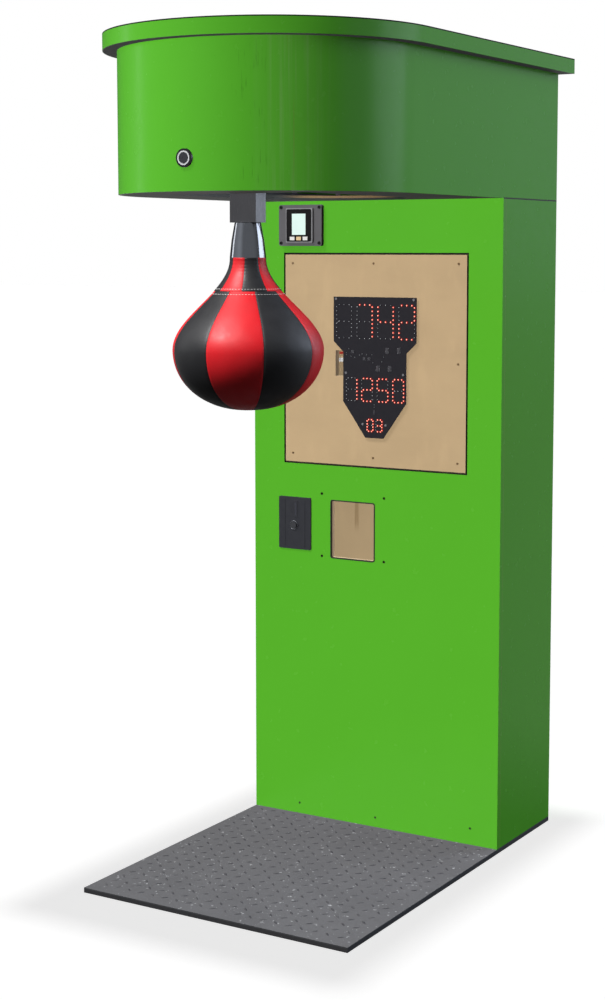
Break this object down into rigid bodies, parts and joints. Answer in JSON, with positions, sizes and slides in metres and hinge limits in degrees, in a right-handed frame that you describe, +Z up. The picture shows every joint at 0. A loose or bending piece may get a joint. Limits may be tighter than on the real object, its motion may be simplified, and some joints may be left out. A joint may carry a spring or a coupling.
{
  "type": "strength tester machine",
  "caption": "Free-standing punch ball strength tester: board cabinet with dot display, payment units and spare opening, round-fronted hood, swinging ball and platform.",
  "frame": {"origin": "on the floor, in the plane of the cabinet's front face, on the centre line", "axes": "+X to the player's right, +Y from the player into the cabinet, +Z up"},
  "size_m": [0.84, 1.2849, 2.135],
  "materials": {
    "platform_board": "black sealed board, matt",
    "tread_rubber": "grey ribbed sheet, matt",
    "green_paint": "board painted green, satin",
    "dark_board": "board painted charcoal, matt",
    "lid_sheet": "black sheet, matt",
    "raw_board": "raw fibreboard, matt",
    "zinc_steel": "zinc plated, satin",
    "circuit_black": "black circuit board, satin",
    "lit_red": "red light dots, lit",
    "unlit_grey": "clear light dots, unlit",
    "plug_white": "white and red plug housings",
    "terminal_grey": "warm grey, satin",
    "glass_black": "black, glossy",
    "screen_white": "pale lit screen and plain white key fields",
    "coin_metal": "dark blue grey powder coat, satin",
    "knob_metal": "turned steel, satin",
    "box_metal": "grey paint, satin",
    "circuit_green": "green circuit board",
    "black_plastic": "black moulding, satin",
    "switch_red": "red, glossy",
    "chrome": "polished",
    "frame_steel": "dark paint, satin",
    "bearing_iron": "cast iron, painted green",
    "ground_steel": "ground steel",
    "arm_steel": "dark grey paint, satin",
    "collar_metal": "bright turned metal",
    "ball_leather": "red and black leather gores, satin",
    "skirt_leather": "red and black leather gores with white stitching",
    "bag_foam": "packed textile and foam",
    "buffer_rubber": "black rubber",
    "hook_steel": "yellow passivated steel"
  },
  "bodies": {
    "cabinet": {"base_board": "platform_board", "tread_sheet_cover": "tread_rubber", "front_panel": "green_paint", "side_panels": "green_paint", "window_trim": "black_plastic", "back_frame": "green_paint", "door_frame_hinges": "zinc_steel", "inner_battens": "raw_board", "display_panel": "raw_board", "front_screws": "zinc_steel", "dot_board": "circuit_black", "board_spacers": "zinc_steel", "lit_dots": "lit_red", "unlit_dots": "unlit_grey", "wiring_plug": "plug_white", "recess_back_board": "raw_board", "terminal_housing": "terminal_grey", "terminal_glass": "glass_black", "terminal_screen": "screen_white", "coin_plate": "coin_metal", "coin_mechanism": "coin_metal", "coin_chute": "zinc_steel", "cash_box": "box_metal", "power_supply": "zinc_steel", "control_board": "circuit_green", "mains_inlet": "black_plastic", "hood_shell": "green_paint", "hood_back": "green_paint", "hood_floor": "dark_board", "lid_board": "dark_board", "lid_edge_band": "green_paint", "lid_top_sheet": "lid_sheet", "button_bezel": "black_plastic", "button_ring": "chrome", "bearing_rails": "frame_steel", "bearing_housings": "bearing_iron", "stop_crossbar": "frame_steel", "stop_buffers": "buffer_rubber", "speed_sensor": "black_plastic", "catch_bracket": "frame_steel", "solenoid_body": "black_plastic"},
    "bag_arm": {"pivot_shaft": "ground_steel", "bearing_units": "ground_steel", "swing_arm": "arm_steel", "striker": "zinc_steel", "neck_collar": "collar_metal", "bag_stem": "ground_steel", "bag_filling": "bag_foam", "bag_ball": "ball_leather", "bag_skirt": "skirt_leather", "speed_disc": "ground_steel"},
    "catch_hook": {"catch_hook": "hook_steel"},
    "solenoid_plunger": {"solenoid_plunger": "zinc_steel"},
    "start_button": {"button_cap": "black_plastic"},
    "coin_return": {"coin_return_button": "knob_metal"},
    "service_door": {"rear_door": "green_paint", "door_leaf_hinges": "zinc_steel", "lock_barrel": "zinc_steel"},
    "door_lock": {"lock_cam": "zinc_steel"},
    "mains_switch": {"inlet_switch": "switch_red"}
  },
  "joints": [
    {"name": "bag_swing", "type": "hinge", "parent": "cabinet", "child": "bag_arm", "pos_m": [0, -0.62, 1.805], "axis": [1, 0, 0], "range_deg": [0, 85]},
    {"name": "hook_turn", "type": "hinge", "parent": "cabinet", "child": "catch_hook", "pos_m": [0, -0.69301, 1.84996], "axis": [1, 0, 0], "range_deg": [0, 25], "stiffness_Nm_per_rad": 0.6, "springref_deg": -17.19},
    {"name": "plunger_slide", "type": "slide", "parent": "cabinet", "child": "solenoid_plunger", "axis": [0, -1, 0], "range_m": [0, 0.014]},
    {"name": "start_press", "type": "slide", "parent": "cabinet", "child": "start_button", "axis": [0, 1, 0], "range_m": [0, 0.003], "stiffness_N_per_m": 500, "springref_m": -0.003},
    {"name": "coin_return_press", "type": "slide", "parent": "cabinet", "child": "coin_return", "axis": [0, 1, 0], "range_m": [0, 0.004], "stiffness_N_per_m": 500, "springref_m": -0.003},
    {"name": "rear_door_swing", "type": "hinge", "parent": "cabinet", "child": "service_door", "pos_m": [-0.2815, 0.346, 0.738], "axis": [0, 0, 1], "range_deg": [0, 110]},
    {"name": "lock_turn", "type": "hinge", "parent": "service_door", "child": "door_lock", "pos_m": [0.245, 0.32, 0.738], "axis": [0, -1, 0], "range_deg": [0, 90]},
    {"name": "mains_switch_rock", "type": "hinge", "parent": "cabinet", "child": "mains_switch", "pos_m": [0.015, 0.339, 0.088], "axis": [1, 0, 0], "range_deg": [0, 18]}
  ],
  "couplings": [
    {"joint": "plunger_slide", "follows": "hook_turn", "m_per_rad": 0.03206}
  ]
}
